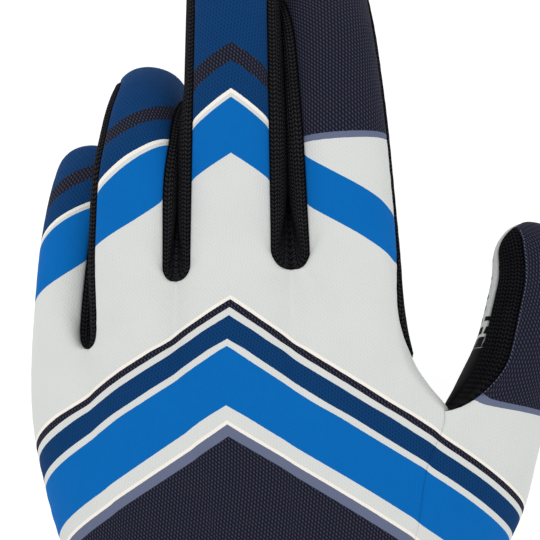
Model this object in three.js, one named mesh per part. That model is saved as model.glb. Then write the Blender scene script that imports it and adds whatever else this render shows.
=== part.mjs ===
// Karting glove for the left hand, filled out as if worn and lying palm down on a flat surface.
// Millimetres. +Z is up, +Y runs from the wrist to the fingertips, +X points to the thumb side. The
// origin lies on the surface, under the heel of the palm, where the glove rests.
//
// One smooth skin describes the outside of the whole glove. It is laid out as five digits side by side,
// each with a back sector, a palm sector and two side sectors, on rows that run from the cuff to the
// tips. Every sewn panel is a stretch of that skin with a wall thickness, kept a seam gap from its
// neighbours.
import * as THREE from "three";

// Hand
const palmLength = 106.4; // from the origin's wrist seam to the crotch of middle and index finger
const wristY = -16; // the wrist seam
const handBreadth = 93.5; // across the knuckles, without the thumb
const handMiddle = -10.5; // middle of the hand without the thumb, across from the origin
const knuckleHeight = 48.5; // top of the back of the hand above the surface

// Cuff
const cuffLength = 44;
const hemEnd = wristY - cuffLength;
const hemLength = 4.5; // the bound edge of the cuff, along the cuff
const hemBulge = 0.7; // how far the binding stands out from the cuff
const hemFade = 1.5; // the binding's rounded edge, along the cuff

// Cloth
const backWall = 1.6; // printed mesh with its foam backing
const knitWall = 1.4; // side strips between the fingers
const palmWall = 1.8; // suede with its lining
const cuffWall = 2.2; // double elastic knit
const hemWall = 3; // the folded binding
const seamWall = 1.1; // cloth pressed thin along a seam
const seamGap = 0.34; // between two sewn panels
const knitPuff = 2; // how far a side strip stands out between its seams, at most

// Digits. length runs from the crotch to the tip, breadth is across and depth from back to pad.
const digitSizes = {
  little: { length: 56, breadth: 18.2, depth: 16.4 },
  ring: { length: 67, breadth: 20.8, depth: 18.6 },
  middle: { length: 94, breadth: 24.4, depth: 21.4 },
  index: { length: 85, breadth: 24.6, depth: 21.6 },
  thumb: { length: 49, breadth: 24.2, depth: 23.2 },
};
const tipTaper = 0.86; // breadth where the rounded tip starts, as a share of the breadth at the base
const tipRound = 1.05; // length of the rounded tip, as a share of half the breadth there
const sectionPower = 2.2; // 2 is an ellipse, more is squarer
const bendShare = 0.26; // each bend is spread over this share of the digit's length

// Places along the hand are shares of the palm length from the wrist seam.
const yAt = (share) => wristY + share * palmLength;
const xAt = (share) => handMiddle + share * handBreadth;

// The slits between neighbouring digits. share: where it starts, along the palm. round: length of its
// rounded end, as a share of the middle finger's breadth. meet: where its end lies, from 0 at the digit
// on its left to 1 at the digit on its right. sharp: how its end runs out on its left and right, 0 round
// and 1 pointed. web: how much further up the digits the knit in it starts halfway down than at its
// seams, and webRun: over how much of the slit that evens out, both as shares of the middle finger's
// breadth. fill: share of the gap between the digits that the knit on each of its sides fills, as far as
// the digit across it reaches.
const slits = [
  { share: 0.822, round: 0.24, meet: 0.5, sharp: [0.4, 0.4], web: 0.12, webRun: 0.4, fill: 0.15 },
  { share: 0.974, round: 0.15, meet: 0.5, sharp: [0, 0], web: 0.17, webRun: 0.56, fill: 0.4 },
  { share: 1.0, round: 0.2, meet: 0.5, sharp: [0, 0], web: 0.19, webRun: 0.6, fill: 0.42 },
  { share: 0.673, round: 0.53, meet: 0.12, sharp: [0.7, 0], web: 0, webRun: 0.6, fill: 0 },
].map((slit) => {
  const { breadth } = digitSizes.middle;
  const [round, web, webRun] = [slit.round, slit.web, slit.webRun].map((share) => share * breadth);
  return { ...slit, start: yAt(slit.share), round, web, webRun };
});

// How each digit is held. base: share of the palm length where its own length starts. across and up: its
// centre there, as shares of the hand's breadth and of the knuckle height. roll: degrees its back leans
// to the thumb side. heading: degrees to the thumb side. pitch: degrees downhill. bends: at a share of
// its length, further degrees of heading and pitch. merge: where the palm turns into the digit, as shares
// of the palm length. back and palm: degrees above and below its side where those sectors end, on its
// left and right. narrow: its side strips narrow to their points over this share of its length, and reach
// that many rows of its rounded tip.
const holds = {
  little: {
    base: 0.822, across: -0.412, up: 0.42, roll: -24, heading: 2, pitch: -2, merge: [0.5, 0.84],
    bends: [
      { at: 0.22, heading: 2, pitch: 4 },
      { at: 0.42, heading: 5, pitch: 26 },
      { at: 0.7, heading: 6, pitch: 22 },
    ],
    back: [-4, 42], palm: [4, 36], narrow: 0.24, tipReach: 1,
  },
  ring: {
    base: 0.974, across: -0.247, up: 0.72, roll: -12, heading: 1, pitch: 0, merge: [0.52, 0.93],
    bends: [{ at: 0.38, heading: 9, pitch: 42 }, { at: 0.7, heading: 14, pitch: 28 }],
    back: [40, 38], palm: [36, 36], narrow: 0.24, tipReach: 1,
  },
  middle: {
    base: 0.99, across: 0.016, up: 0.755, roll: -2, heading: 0, pitch: 5, merge: [0.56, 1.0],
    bends: [{ at: 0.42, heading: 0, pitch: 18 }, { at: 0.7, heading: 0, pitch: 20 }],
    back: [38, 38], palm: [36, 36], narrow: 0.24, tipReach: 1,
  },
  index: {
    base: 1.0, across: 0.325, up: 0.72, roll: 6, heading: -4, pitch: 6, merge: [0.56, 1.0],
    bends: [{ at: 0.42, heading: -2, pitch: 19 }, { at: 0.7, heading: -3, pitch: 22 }],
    back: [38, 40], palm: [36, 36], narrow: 0.24, tipReach: 1,
  },
  thumb: {
    base: 0.673, across: 0.735, up: 0.46, roll: 56, heading: 14, pitch: 10, merge: [0.22, 0.78],
    bends: [{ at: 0.35, heading: -3, pitch: 5 }, { at: 0.7, heading: -16, pitch: 6 }],
    back: [20, -4], palm: [20, 4], narrow: 0.14, tipReach: 3,
  },
};
// The strip on the outer side of the index finger. start and taper: where it begins and over how much it
// widens, as shares of the finger's length. above, below and seam: degrees from the finger's side. crest:
// how much further up its edge comes near its start, over crestRun as a share of the finger's length.
const indexStrip = { start: -0.26, taper: 0.3, above: 9, below: 30, seam: 4, crest: 55, crestRun: 0.45 };
const stripStart = yAt(holds.index.base) + indexStrip.start * digitSizes.index.length;
const slitSpread = 26; // how much further up the digit the cloth far from a slit is still drawn
const sideBulge = 0.1; // how far the hand bulges beside a slit, as a share of the digit's depth

// Sections of the hand. at: share of the palm length. left and right: its sides, as shares of the hand's
// breadth from the hand's middle. top and bottom: shares of the knuckle height. dropL and dropR:
// how much lower the back is towards its sides. seam: height of the side seams.
const sections = [
  { at: -0.46, left: -0.285, right: 0.505, top: 0.74, bottom: -0.02, dropL: 0, dropR: 0, seam: 0.36 },
  { at: -0.4, left: -0.285, right: 0.505, top: 0.74, bottom: -0.02, dropL: 0, dropR: 0, seam: 0.36 },
  { at: -0.2, left: -0.275, right: 0.49, top: 0.75, bottom: -0.01, dropL: 0, dropR: 0, seam: 0.36 },
  { at: 0, left: -0.275, right: 0.5, top: 0.77, bottom: -0.02, dropL: 0.02, dropR: 0.03, seam: 0.36 },
  { at: 0.17, left: -0.345, right: 0.615, top: 0.84, bottom: -0.035, dropL: 0.05, dropR: 0.1, seam: 0.35 },
  { at: 0.385, left: -0.437, right: 0.755, top: 0.94, bottom: -0.035, dropL: 0.09, dropR: 0.22, seam: 0.36 },
  { at: 0.52, left: -0.478, right: 0.83, top: 0.98, bottom: 0, dropL: 0.11, dropR: 0.28, seam: 0.38 },
  { at: 0.67, left: -0.503, right: 0.86, top: 1.0, bottom: 0.1, dropL: 0.14, dropR: 0.3, seam: 0.4 },
  { at: 0.85, left: -0.508, right: 0.8, top: 1.0, bottom: 0.22, dropL: 0.18, dropR: 0.3, seam: 0.44 },
  { at: 1.05, left: -0.5, right: 0.7, top: 0.98, bottom: 0.3, dropL: 0.2, dropR: 0.3, seam: 0.5 },
];

// Lines between the digits' sectors on the hand. little, ring, middle, thumb: the line on the far side of
// that finger, as a share of the hand's breadth from the hand's middle.
const lines = [
  { at: -0.46, little: -0.13, ring: 0.03, middle: 0.19, thumb: 0.345 },
  { at: 0, little: -0.14, ring: 0.025, middle: 0.18, thumb: 0.345 },
  { at: 0.2, little: -0.2, ring: 0.005, middle: 0.175, thumb: 0.43 },
  { at: 0.385, little: -0.27, ring: -0.025, middle: 0.175, thumb: 0.495 },
  { at: 0.56, little: -0.325, ring: -0.065, middle: 0.172, thumb: 0.52 },
  { at: 0.67, little: -0.34, ring: -0.095, middle: 0.17, thumb: 0.575 },
  { at: 0.733, little: -0.345, ring: -0.105, middle: 0.17, thumb: 0.535 },
  { at: 0.795, little: -0.348, ring: -0.115, middle: 0.168, thumb: 0.49 },
  { at: 0.883, little: -0.35, ring: -0.125, middle: 0.168, thumb: 0.465 },
  { at: 1.05, little: -0.35, ring: -0.135, middle: 0.168, thumb: 0.45 },
];

// Rows of the skin along the hand, as shares of the palm length, and of each digit beyond the last slit.
const handRows = [0.12, 0.24, 0.36, 0.47, 0.57, 0.625];
const digitRowLength = 7.5; // millimetres between rows beyond the last slit
const tipRows = 5;
const nearRows = 0.4; // rows nearer than this to the row before are left out
const stripRows = 2.5; // and to the start of the index finger's strip
const backColumns = 5;
const palmColumns = 4;
const sideColumns = 5;
const normalPasses = 3; // how often the wall's direction is evened out between neighbours

const rad = Math.PI / 180;
const clamp = (x, low, high) => Math.min(high, Math.max(low, x));
const ease = (x) => clamp(x, 0, 1) ** 2 * (3 - 2 * clamp(x, 0, 1));
const widen = (x) => clamp(x, 0, 1) * (2 - clamp(x, 0, 1)); // pointed where it starts, smooth where it ends
const mix = (a, b, share) => a + (b - a) * share;
const power = (x, p) => Math.sign(x) * Math.abs(x) ** p;

// A smooth curve through one column of a table: a cubic between rows, its slope at a row from both
// neighbours.
function along(table, column, at) {
  const last = table.length - 1;
  const place = clamp(at, table[0].at, table[last].at);
  let i = 0;
  while (i < last - 1 && place > table[i + 1].at) i += 1;
  const slope = (n) => {
    const low = Math.max(0, n - 1);
    const high = Math.min(last, n + 1);
    return (table[high][column] - table[low][column]) / (table[high].at - table[low].at);
  };
  const span = table[i + 1].at - table[i].at;
  const s = (place - table[i].at) / span;
  return (
    table[i][column] * (1 + 2 * s) * (1 - s) ** 2 +
    table[i + 1][column] * s * s * (3 - 2 * s) +
    slope(i) * span * s * (1 - s) ** 2 -
    slope(i + 1) * span * s * s * (1 - s)
  );
}

// A point of the hand's section at a row. turn: angle from the thumb side, 0 to 180 over the back.
function handPoint(row, turn, overBack) {
  const at = (row - wristY) / palmLength;
  const [left, right] = ["left", "right"].map((side) => xAt(along(sections, side, at)));
  const [top, bottom, seam, dropLeft, dropRight] = ["top", "bottom", "seam", "dropL", "dropR"].map(
    (column) => knuckleHeight * along(sections, column, at),
  );
  const c = power(Math.cos(turn), 2 / sectionPower);
  const s = Math.abs(Math.sin(turn)) ** (2 / sectionPower);
  const ridge = top - dropLeft * Math.max(0, -c) ** 2 - dropRight * Math.max(0, c) ** 2;
  const bulge = hemBulge * ease((hemLength - (row - hemEnd)) / hemFade + 2 / 3);
  const z = overBack ? seam + (ridge - seam + bulge) * s : seam - (seam - bottom + bulge) * s;
  return new THREE.Vector3((left + right) / 2 + ((right - left) / 2 + bulge) * c, row, z);
}

// Angle on the hand's section of the line between two digits' sectors. slit 0 and 5 are the side seams.
function lineTurn(row, slit) {
  if (slit === 0) return Math.PI;
  if (slit === 5) return 0;
  const at = (row - wristY) / palmLength;
  const [left, right] = ["left", "right"].map((side) => xAt(along(sections, side, at)));
  const x = xAt(along(lines, ["little", "ring", "middle", "thumb"][slit - 1], at));
  const c = (x - (left + right) / 2) / ((right - left) / 2);
  return Math.acos(clamp(power(c, sectionPower / 2), -1, 1));
}

// The centre line of a digit and its frame, a place every quarter millimetre from its base.
const step = 0.25;
function centreLine(hold, size) {
  const places = [];
  const place = new THREE.Vector3(xAt(hold.across), yAt(hold.base), hold.up * knuckleHeight);
  for (let s = 0; s <= size.length + step; s += step) {
    let { heading, pitch } = hold;
    for (const bend of hold.bends) {
      const share = ease((s / size.length - bend.at) / bendShare + 0.5);
      heading += bend.heading * share;
      pitch += bend.pitch * share;
    }
    const ahead = new THREE.Vector3(
      Math.sin(heading * rad) * Math.cos(pitch * rad),
      Math.cos(heading * rad) * Math.cos(pitch * rad),
      -Math.sin(pitch * rad),
    );
    const aside = new THREE.Vector3(Math.cos(heading * rad), -Math.sin(heading * rad), 0);
    const up = new THREE.Vector3().crossVectors(aside, ahead);
    const [c, d] = [Math.cos(hold.roll * rad), Math.sin(hold.roll * rad)];
    const across = aside.clone().multiplyScalar(c).addScaledVector(up, -d);
    const out = up.clone().multiplyScalar(c).addScaledVector(aside, d);
    places.push({ at: place.clone(), ahead, across, out });
    place.addScaledVector(ahead, step);
  }
  return places;
}

const names = Object.keys(digitSizes);
const digits = names.map((name) => {
  const size = digitSizes[name];
  const half = (size.breadth / 2) * tipTaper;
  return {
    ...size, ...holds[name], name, start: yAt(holds[name].base), cap: half * tipRound,
    places: centreLine(holds[name], size),
    stripEnd: Math.sin((holds[name].tipReach / tipRows) * (Math.PI / 2)), // its strips' share of the tip
  };
});

// A point of a digit's tube at a row. turn: degrees from its right side, 90 is its back.
function digitPoint(digit, row, turn) {
  const s = row - digit.start;
  const i = clamp(s / step, 0, digit.places.length - 1);
  const { ahead, across, out } = digit.places[Math.floor(i)];
  const at = digit.places[Math.floor(i)].at.clone().addScaledVector(ahead, s < 0 ? s : (i % 1) * step);
  const capAt = clamp((s - digit.length + digit.cap) / digit.cap + 1e-9, 0, 1);
  const taper = mix(1, tipTaper, clamp(s / (digit.length - digit.cap), 0, 1)) * Math.sqrt(1 - capAt * capAt);
  const c = power(Math.cos(turn * rad), 2 / sectionPower);
  const d = power(Math.sin(turn * rad), 2 / sectionPower);
  return at
    .addScaledVector(across, (digit.breadth / 2) * taper * c)
    .addScaledVector(out, (digit.depth / 2) * taper * d);
}

// How wide a digit's side strips are at a row, from 1 to 0 at their points.
function stripShare(digit, row) {
  const end = digit.start + digit.length - digit.cap * (1 - digit.stripEnd);
  return widen((end - row) / (digit.length * digit.narrow));
}

// Degrees on a digit's tube of the columns of one side, from the back's border down to the palm's.
function sideTurns(digit, row, side) {
  const s = row - digit.start;
  const taper = stripShare(digit, row);
  const back = digit.back[side] * taper;
  const palm = -digit.palm[side] * taper;
  let turns = Array.from({ length: sideColumns + 1 }, (_, c) => mix(back, palm, c / sideColumns));
  if (side === 1 && digit.name === "index") {
    const { start, seam, below, crest, crestRun } = indexStrip;
    const open = widen((s / digit.length - start) / indexStrip.taper);
    const above = indexStrip.above + crest * (1 - clamp((s / digit.length - start) / crestRun, 0, 1)) ** 2;
    const web = clamp((stripStart - row) / (stripStart - slits[3].start), 0, 1);
    const inner = [above, (above - below) / 2, -below].map(
      (turn, i) => mix(mix(seam, turn, open) * taper, turns[i + 2], web),
    );
    turns = [back, mix(back, inner[0], 0.5), ...inner, palm];
  }
  return side === 1 ? turns : turns.map((turn) => 180 - turn);
}

// How much a digit's own tube shapes its strip at a row, from 0 on the hand to 1.
const tubeShare = (digit, row) =>
  ease((row - yAt(digit.merge[0])) / (yAt(digit.merge[1]) - yAt(digit.merge[0])));

// A place on a digit's strip before the slits are closed. sector: back or palm. share: across, from its
// left.
function stripPlace(n, row, sector, share) {
  const digit = digits[n];
  const ends = [0, 1].map((side) => sideTurns(digit, row, side).at(sector === "back" ? 0 : -1));
  if (sector === "palm") ends[1] += 360;
  const tube = digitPoint(digit, row, mix(ends[0], ends[1], share));
  const own = tubeShare(digit, row);
  if (own >= 1) return tube;
  const turn = mix(lineTurn(row, n), lineTurn(row, n + 1), share);
  return handPoint(row, turn, sector === "back").lerp(tube, own);
}

// A place on the side of a digit before the slits are closed, in one of the columns of that side.
function sidePlace(n, row, side, column) {
  const digit = digits[n];
  const turns = sideTurns(digit, row, side);
  const last = turns.length - 1;
  if (column === 0) return stripPlace(n, row, "back", side);
  if (column === last) return stripPlace(n, row, "palm", side);
  const tube = digitPoint(digit, row, turns[column]);
  const own = tubeShare(digit, row);
  if (own >= 1) return tube;
  const share = (turns[column] - turns[0]) / (turns[last] - turns[0]);
  const turn = lineTurn(row, n + side);
  const hand = handPoint(row, turn, true).lerp(handPoint(row, turn, false), share);
  hand.x += (side === 1 ? 1 : -1) * sideBulge * digit.depth * 4 * share * (1 - share);
  return hand.lerp(tube, own);
}

// How far a border is drawn to its slit's end at a row: all the way up to its start, not at all past its
// end. side: 1 for the digit on the left of the slit, whose right side this is, and 0 for the digit on
// its right. from: 0 at the border, 1 at the strip's far border.
function drawn(slit, row, side, from = 0) {
  const s = clamp((row - slit.start) / (slit.round + slitSpread * from), 0, 1);
  const closed = mix(1 - Math.sqrt(1 - (1 - s) ** 2), (1 - s) ** 1.5, slit.sharp[1 - side]);
  return closed * (side === 1 ? slit.meet : 1 - slit.meet);
}

// The way a place on a strip is drawn towards one of its slits, from its distance to that border.
function pull(n, row, side, sector) {
  const slit = n + side - 1;
  if (slit < 0 || slit > 3) return () => new THREE.Vector3();
  const until = Math.min(row, slits[slit].start);
  const own = stripPlace(n, until, sector, side);
  const way = stripPlace(side === 1 ? n + 1 : n - 1, until, sector, 1 - side).sub(own);
  return (from) => way.clone().multiplyScalar(drawn(slits[slit], row, side, from) * (1 - from) ** 2);
}

// The skin: places of one row of a strip's sector, left to right, or of a side, back to palm.
function sectorRow(n, row, sector) {
  const columns = sector === "back" ? backColumns : palmColumns;
  const [left, right] = [0, 1].map((side) => pull(n, row, side, sector));
  return Array.from({ length: columns + 1 }, (_, c) => {
    const share = c / columns;
    return stripPlace(n, row, sector, share).add(left(share)).add(right(1 - share));
  });
}
function sideRow(n, row, side) {
  const digit = digits[n];
  const slit = slits[n + side - 1];
  const count = sideTurns(digit, row, side).length;
  const other = side === 1 ? n + 1 : n - 1;
  const share = drawn(slit, row, side);
  const run = ease((row - slit.start) / slit.webRun);
  const near = Math.floor(clamp((row - digit.start) / step, 0, digit.places.length - 1));
  const { across } = digit.places[near];
  return Array.from({ length: count }, (_, c) => {
    const arch = Math.sin((Math.PI * c) / (count - 1));
    const from = slit.start + slit.web * arch;
    const at = row + slit.web * arch * (1 - run);
    const way = sidePlace(other, from, 1 - side, c).sub(sidePlace(n, from, side, c));
    const place = sidePlace(n, at, side, c);
    const out = side === 1 ? across : across.clone().negate();
    const gap = sidePlace(other, at, 1 - side, c).sub(place).dot(out);
    const beside = ease((digits[other].places.at(-1).at.y - place.y) / (digits[other].breadth / 2));
    const most = Math.min(knitPuff, slit.fill * Math.max(0, gap));
    const puff = most * arch * run * beside * stripShare(digit, row);
    return place.addScaledVector(way, share).addScaledVector(out, puff);
  });
}

// Rows of the skin, in millimetres along the hand and then along each digit.
const slitSteps = [0, 0.13, 0.5, 1];
const fixedRows = [
  hemEnd, hemEnd + hemLength * 0.5, hemEnd + hemLength, hemEnd + hemLength + hemFade * 0.8,
  mix(hemEnd + hemLength, wristY, 0.5), wristY, ...handRows.map(yAt), stripStart,
  ...slits.flatMap((slit) => slitSteps.map((share) => slit.start + share * slit.round)),
].sort((a, b) => a - b);
const starts = [...slits.map((slit) => slit.start), stripStart];
const sharedRows = fixedRows.filter(
  (row, i) => starts.includes(row) ||
    ((i === 0 || row - fixedRows[i - 1] > nearRows) && Math.abs(row - stripStart) > stripRows &&
      !starts.some((start) => Math.abs(start - row) < nearRows)),
).filter((row, i, list) => i === 0 || row > list[i - 1]);
function rowsOf(digit, n) {
  const end = digit.start + digit.length;
  const capStart = end - digit.cap;
  const beside = slits.slice(Math.max(0, n - 1), n + 1);
  const from = Math.max(...beside.map((slit) => slit.start + slit.round));
  const count = Math.max(1, Math.ceil((capStart - from) / digitRowLength));
  const middle = Array.from({ length: count }, (_, i) => mix(from, capStart, (i + 1) / count));
  const tip = Array.from({ length: tipRows }, (_, i) =>
    mix(capStart, end, Math.sin(((i + 1) / tipRows) * (Math.PI / 2))));
  const shared = sharedRows.filter((row) => row < from - 1.5 * nearRows);
  return [...shared, from, ...middle, ...tip];
}

// Faces of the whole skin, each with the name of the panel it belongs to. Places that coincide are one
// vertex.
const vertices = [];
const faces = [];
const found = new Map();
function vertexAt(place) {
  place.z = Math.max(place.z, 0);
  const key = [place.x, place.y, place.z].map((x) => Math.round(x * 1000)).join(" ");
  if (!found.has(key)) {
    found.set(key, vertices.length);
    vertices.push(place);
  }
  return found.get(key);
}
function addPatch(grid, outward, panelAt) {
  for (let r = 0; r + 1 < grid.length; r += 1) {
    for (let c = 0; c + 1 < grid[r].length; c += 1) {
      const quad = [grid[r][c], grid[r][c + 1], grid[r + 1][c + 1], grid[r + 1][c]];
      if (!outward) quad.reverse();
      const corners = [[quad[0], quad[1], quad[2]], [quad[0], quad[2], quad[3]]];
      for (const face of corners) {
        if (new Set(face).size === 3) faces.push({ face, panel: panelAt(r, c) });
      }
    }
  }
}
const panelOfRow = (row, name) => {
  if (row < hemEnd + hemLength - 0.01) return "cuff_binding";
  return row < wristY - 0.01 ? "cuff" : name;
};
const slitPanels = [
  "fourchette_little_ring", "fourchette_ring_middle", "fourchette_middle_index", "thumb_gusset",
];
digits.forEach((digit, n) => {
  const rows = rowsOf(digit, n);
  const index = (places) => places.map(vertexAt);
  for (const sector of ["back", "palm"]) {
    const grid = rows.map((row) => index(sectorRow(n, row, sector)));
    const name = `${n === 4 ? "thumb" : sector}_${n === 4 ? sector : "panel"}`;
    addPatch(grid, sector === "back", (r) => panelOfRow(rows[r], name));
  }
  for (const side of [0, 1]) {
    const slit = n + side - 1;
    if (slit < 0 || slit > 3) continue;
    const free = rows.filter((row) => row >= slits[slit].start);
    const grid = free.map((row) => index(sideRow(n, row, side)));
    const nearIndex = (r, c) => {
      if (free[r] >= stripStart && (c === 2 || c === 3)) return "index_side_strip";
      return c < 3 ? "back_panel" : "palm_panel";
    };
    addPatch(grid, side === 1, n === 3 && side === 1 ? nearIndex : () => slitPanels[slit]);
  }
});

// Outward direction at every vertex of the skin, shared by all panels that meet there.
const normals = vertices.map(() => new THREE.Vector3());
for (const { face } of faces) {
  const [a, b, c] = face.map((i) => vertices[i]);
  const normal = b.clone().sub(a).cross(c.clone().sub(a));
  face.forEach((i) => normals[i].add(normal));
}
for (let pass = 0; pass < normalPasses; pass += 1) {
  const before = normals.map((normal) => normal.clone().normalize());
  normals.forEach((normal, i) => normal.copy(before[i]));
  for (const { face } of faces) {
    face.forEach((i) => face.forEach((j) => i !== j && normals[i].add(before[j])));
  }
}
normals.forEach((normal) => normal.normalize());

// One panel as a closed solid: its stretch of the skin pulled back by half the seam gap all round, the
// same stretch a wall further in, and a strip that closes its edge.
function panelSolid(name, wall, rimWall) {
  const own = faces.filter((entry) => entry.panel === name).map((entry) => entry.face);
  const edges = new Map();
  for (const face of own) {
    for (let i = 0; i < 3; i += 1) edges.set(`${face[i]} ${face[(i + 1) % 3]}`, face);
  }
  const rim = [...edges.keys()].filter((key) => !edges.has(key.split(" ").reverse().join(" ")));
  const inward = new Map();
  for (const key of rim) {
    const [a, b] = key.split(" ").map(Number);
    const [p, q, r] = edges.get(key).map((i) => vertices[i]);
    const normal = q.clone().sub(p).cross(r.clone().sub(p)).normalize();
    const aside = normal.cross(vertices[b].clone().sub(vertices[a]).normalize());
    for (const i of [a, b]) inward.set(i, [...(inward.get(i) ?? []), aside]);
  }
  const used = [...new Set(own.flat())];
  const position = [];
  const outer = new Map();
  for (const i of used) {
    const place = vertices[i].clone();
    const sides = inward.get(i) ?? [];
    if (sides.length >= 2) {
      const sum = sides.reduce((total, side) => total.add(side), new THREE.Vector3());
      const mitre = Math.min(2 / Math.max(1e-6, sum.dot(sum) / 2), 5);
      place.addScaledVector(sum, (seamGap / 4) * mitre);
    }
    outer.set(i, position.length / 6);
    const inner = place.clone().addScaledVector(normals[i], sides.length > 0 ? -rimWall : -wall);
    position.push(place.x, place.y, place.z, inner.x, inner.y, inner.z);
  }
  const index = [];
  for (const face of own) {
    const [a, b, c] = face.map((i) => outer.get(i) * 2);
    index.push(a, b, c, a + 1, c + 1, b + 1);
  }
  for (const key of rim) {
    const [from, to] = key.split(" ").map(Number);
    const [a, b] = [from, to].map((i) => outer.get(i) * 2);
    index.push(...(from < to ? [a, b + 1, b, a, a + 1, b + 1] : [a, a + 1, b, b, a + 1, b + 1]));
  }
  const geometry = new THREE.BufferGeometry();
  geometry.setAttribute("position", new THREE.Float32BufferAttribute(position, 3));
  geometry.setIndex(index);
  geometry.computeVertexNormals();
  return geometry;
}

const cloth = {
  back_panel: { wall: backWall, rim: seamWall, colour: 0xd9dbda, roughness: 0.85 },
  palm_panel: { wall: palmWall, rim: seamWall, colour: 0xbbbdbb, roughness: 0.9 },
  thumb_back: { wall: backWall, rim: seamWall, colour: 0xd9dbda, roughness: 0.85 },
  thumb_palm: { wall: palmWall, rim: seamWall, colour: 0xbbbdbb, roughness: 0.9 },
  thumb_gusset: { wall: knitWall, rim: seamWall, colour: 0x262628, roughness: 0.95 },
  fourchette_little_ring: { wall: knitWall, rim: seamWall, colour: 0x262628, roughness: 0.95 },
  fourchette_ring_middle: { wall: knitWall, rim: seamWall, colour: 0x262628, roughness: 0.95 },
  fourchette_middle_index: { wall: knitWall, rim: seamWall, colour: 0x262628, roughness: 0.95 },
  index_side_strip: { wall: knitWall, rim: seamWall, colour: 0x262628, roughness: 0.95 },
  cuff: { wall: cuffWall, colour: 0x201e30, roughness: 0.9 },
  cuff_binding: { wall: hemWall, colour: 0x18181a, roughness: 0.85 },
};
const glove = new THREE.Group();
glove.name = "karting_glove";
for (const [name, { wall, rim = wall, colour, roughness }] of Object.entries(cloth)) {
  const material = new THREE.MeshStandardMaterial({ color: colour, roughness, metalness: 0 });
  const mesh = new THREE.Mesh(panelSolid(name, wall, rim), material);
  mesh.name = name;
  glove.add(mesh);
}
export default glove;
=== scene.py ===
import bpy
import numpy as np
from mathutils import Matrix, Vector


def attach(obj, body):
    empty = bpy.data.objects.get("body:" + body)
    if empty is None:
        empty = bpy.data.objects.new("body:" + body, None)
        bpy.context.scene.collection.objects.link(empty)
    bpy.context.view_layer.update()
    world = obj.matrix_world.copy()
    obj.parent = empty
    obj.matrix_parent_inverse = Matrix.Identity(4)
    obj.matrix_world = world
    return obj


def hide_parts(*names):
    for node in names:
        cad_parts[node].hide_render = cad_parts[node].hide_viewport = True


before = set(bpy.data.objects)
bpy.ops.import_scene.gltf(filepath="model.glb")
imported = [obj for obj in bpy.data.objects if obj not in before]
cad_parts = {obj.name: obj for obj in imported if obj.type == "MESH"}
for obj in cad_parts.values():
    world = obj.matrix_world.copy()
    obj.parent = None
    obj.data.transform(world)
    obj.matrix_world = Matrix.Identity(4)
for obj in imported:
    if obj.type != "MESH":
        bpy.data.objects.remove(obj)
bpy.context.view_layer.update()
mm = 0.001

# The form of the hand, with the same names and sizes as the part's source.
hand = {
    "palmLength": 106.4,  # wrist seam to the crotch of middle and index finger
    "wristY": -16.0,
    "breadth": 93.5,  # across the knuckles
    "middle": -10.5,  # middle of the hand, across
    "knuckleHeight": 48.5,
    "sectionPower": 2.2,  # 2 is an ellipse, more is squarer
    "cuffLength": 44.0,
    "hemLength": 4.5,
    "hemBulge": 0.7,
    "hemFade": 1.5,
    "hemLap": 2 / 3,  # share of that which lies inside the hem
    "tipTaper": 0.86,
    "tipRound": 1.05,
    "bendShare": 0.26,
    "knitPuff": 2.6,  # how far the knit stands out between its seams, at most
    "slitSpread": 26.0,
    "sideBulge": 0.1,
    "tipRows": 5,
    "sideColumns": 5,
}


# One dictionary for each place in the columns.
def rowsFrom(columns):
    return [dict(zip(columns, values)) for values in zip(*columns.values())]


# The digits from the little finger to the thumb, as the part's source has them. Angles are in degrees.
digitTable = rowsFrom({
    "length": [56, 67, 94, 85, 49],
    "breadth": [18.2, 20.8, 24.4, 24.6, 24.2],
    "depth": [16.4, 18.6, 21.4, 21.6, 23.2],
    "base": [0.822, 0.974, 0.99, 1.0, 0.673],
    "across": [-0.412, -0.247, 0.016, 0.325, 0.735],
    "up": [0.42, 0.72, 0.755, 0.72, 0.46],
    "roll": [-24, -12, -2, 6, 56],
    "heading": [2, 1, 0, -4, 14],
    "pitch": [-2, 0, 5, 6, 10],
    "merge": [(0.5, 0.84), (0.52, 0.93), (0.56, 1.0), (0.56, 1.0), (0.22, 0.78)],
    "bends": [[(0.22, 2, 4), (0.42, 5, 26), (0.7, 6, 22)], [(0.38, 9, 42), (0.7, 14, 28)],
              [(0.42, 0, 18), (0.7, 0, 20)], [(0.42, -2, 19), (0.7, -3, 22)], [(0.35, -3, 5), (0.7, -16, 6)]],
    "back": [(-4, 42), (40, 28), (36, 34), (34, 40), (20, -4)],
    "palm": [(4, 36), (36, 36), (36, 36), (36, 36), (20, 4)],
    "narrow": [0.24, 0.24, 0.24, 0.24, 0.14],
    "tipReach": [1, 1, 1, 1, 3],
})
# The slits between them: where each starts, how long its round end is, where it meets, how pointed it is, how
# much wider its end is than the rest, how far the knit reaches up deep inside it and over how much that evens
# out, over how much the knit swells, and the share of the slit that it fills.
slitTable = rowsFrom({
    "share": [0.822, 0.974, 1.0, 0.673],
    "round": [0.24, 0.15, 0.2, 0.53],
    "meet": [0.5, 0.5, 0.5, 0.12],
    "sharp": [(0.1, 0.1), (0.0, 0.0), (0.0, 0.0), (0.7, 0.0)],
    "wide": [0.95, 0.0, 0.0, 0.0],
    "web": [0.3, 0.95, 0.95, 0.0],
    "webRun": [0.6, 1.6, 1.6, 0.6],
    "swell": [0.4, 0.56, 0.6, 0.6],
    "fill": [0.15, 0.49, 0.49, 0.0],
})
# The strip beside the index finger, in degrees above and below the finger's side and shares of its length. It
# takes these two of the side's five columns. Before its start the back meets the palm at one column.
indexStrip = {
    "start": -0.26, "taper": 0.3, "above": 9, "below": 30, "seam": 4, "crest": 70, "crestRun": 0.45,
    "columns": (2, 4), "meet": 3,
}
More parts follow.
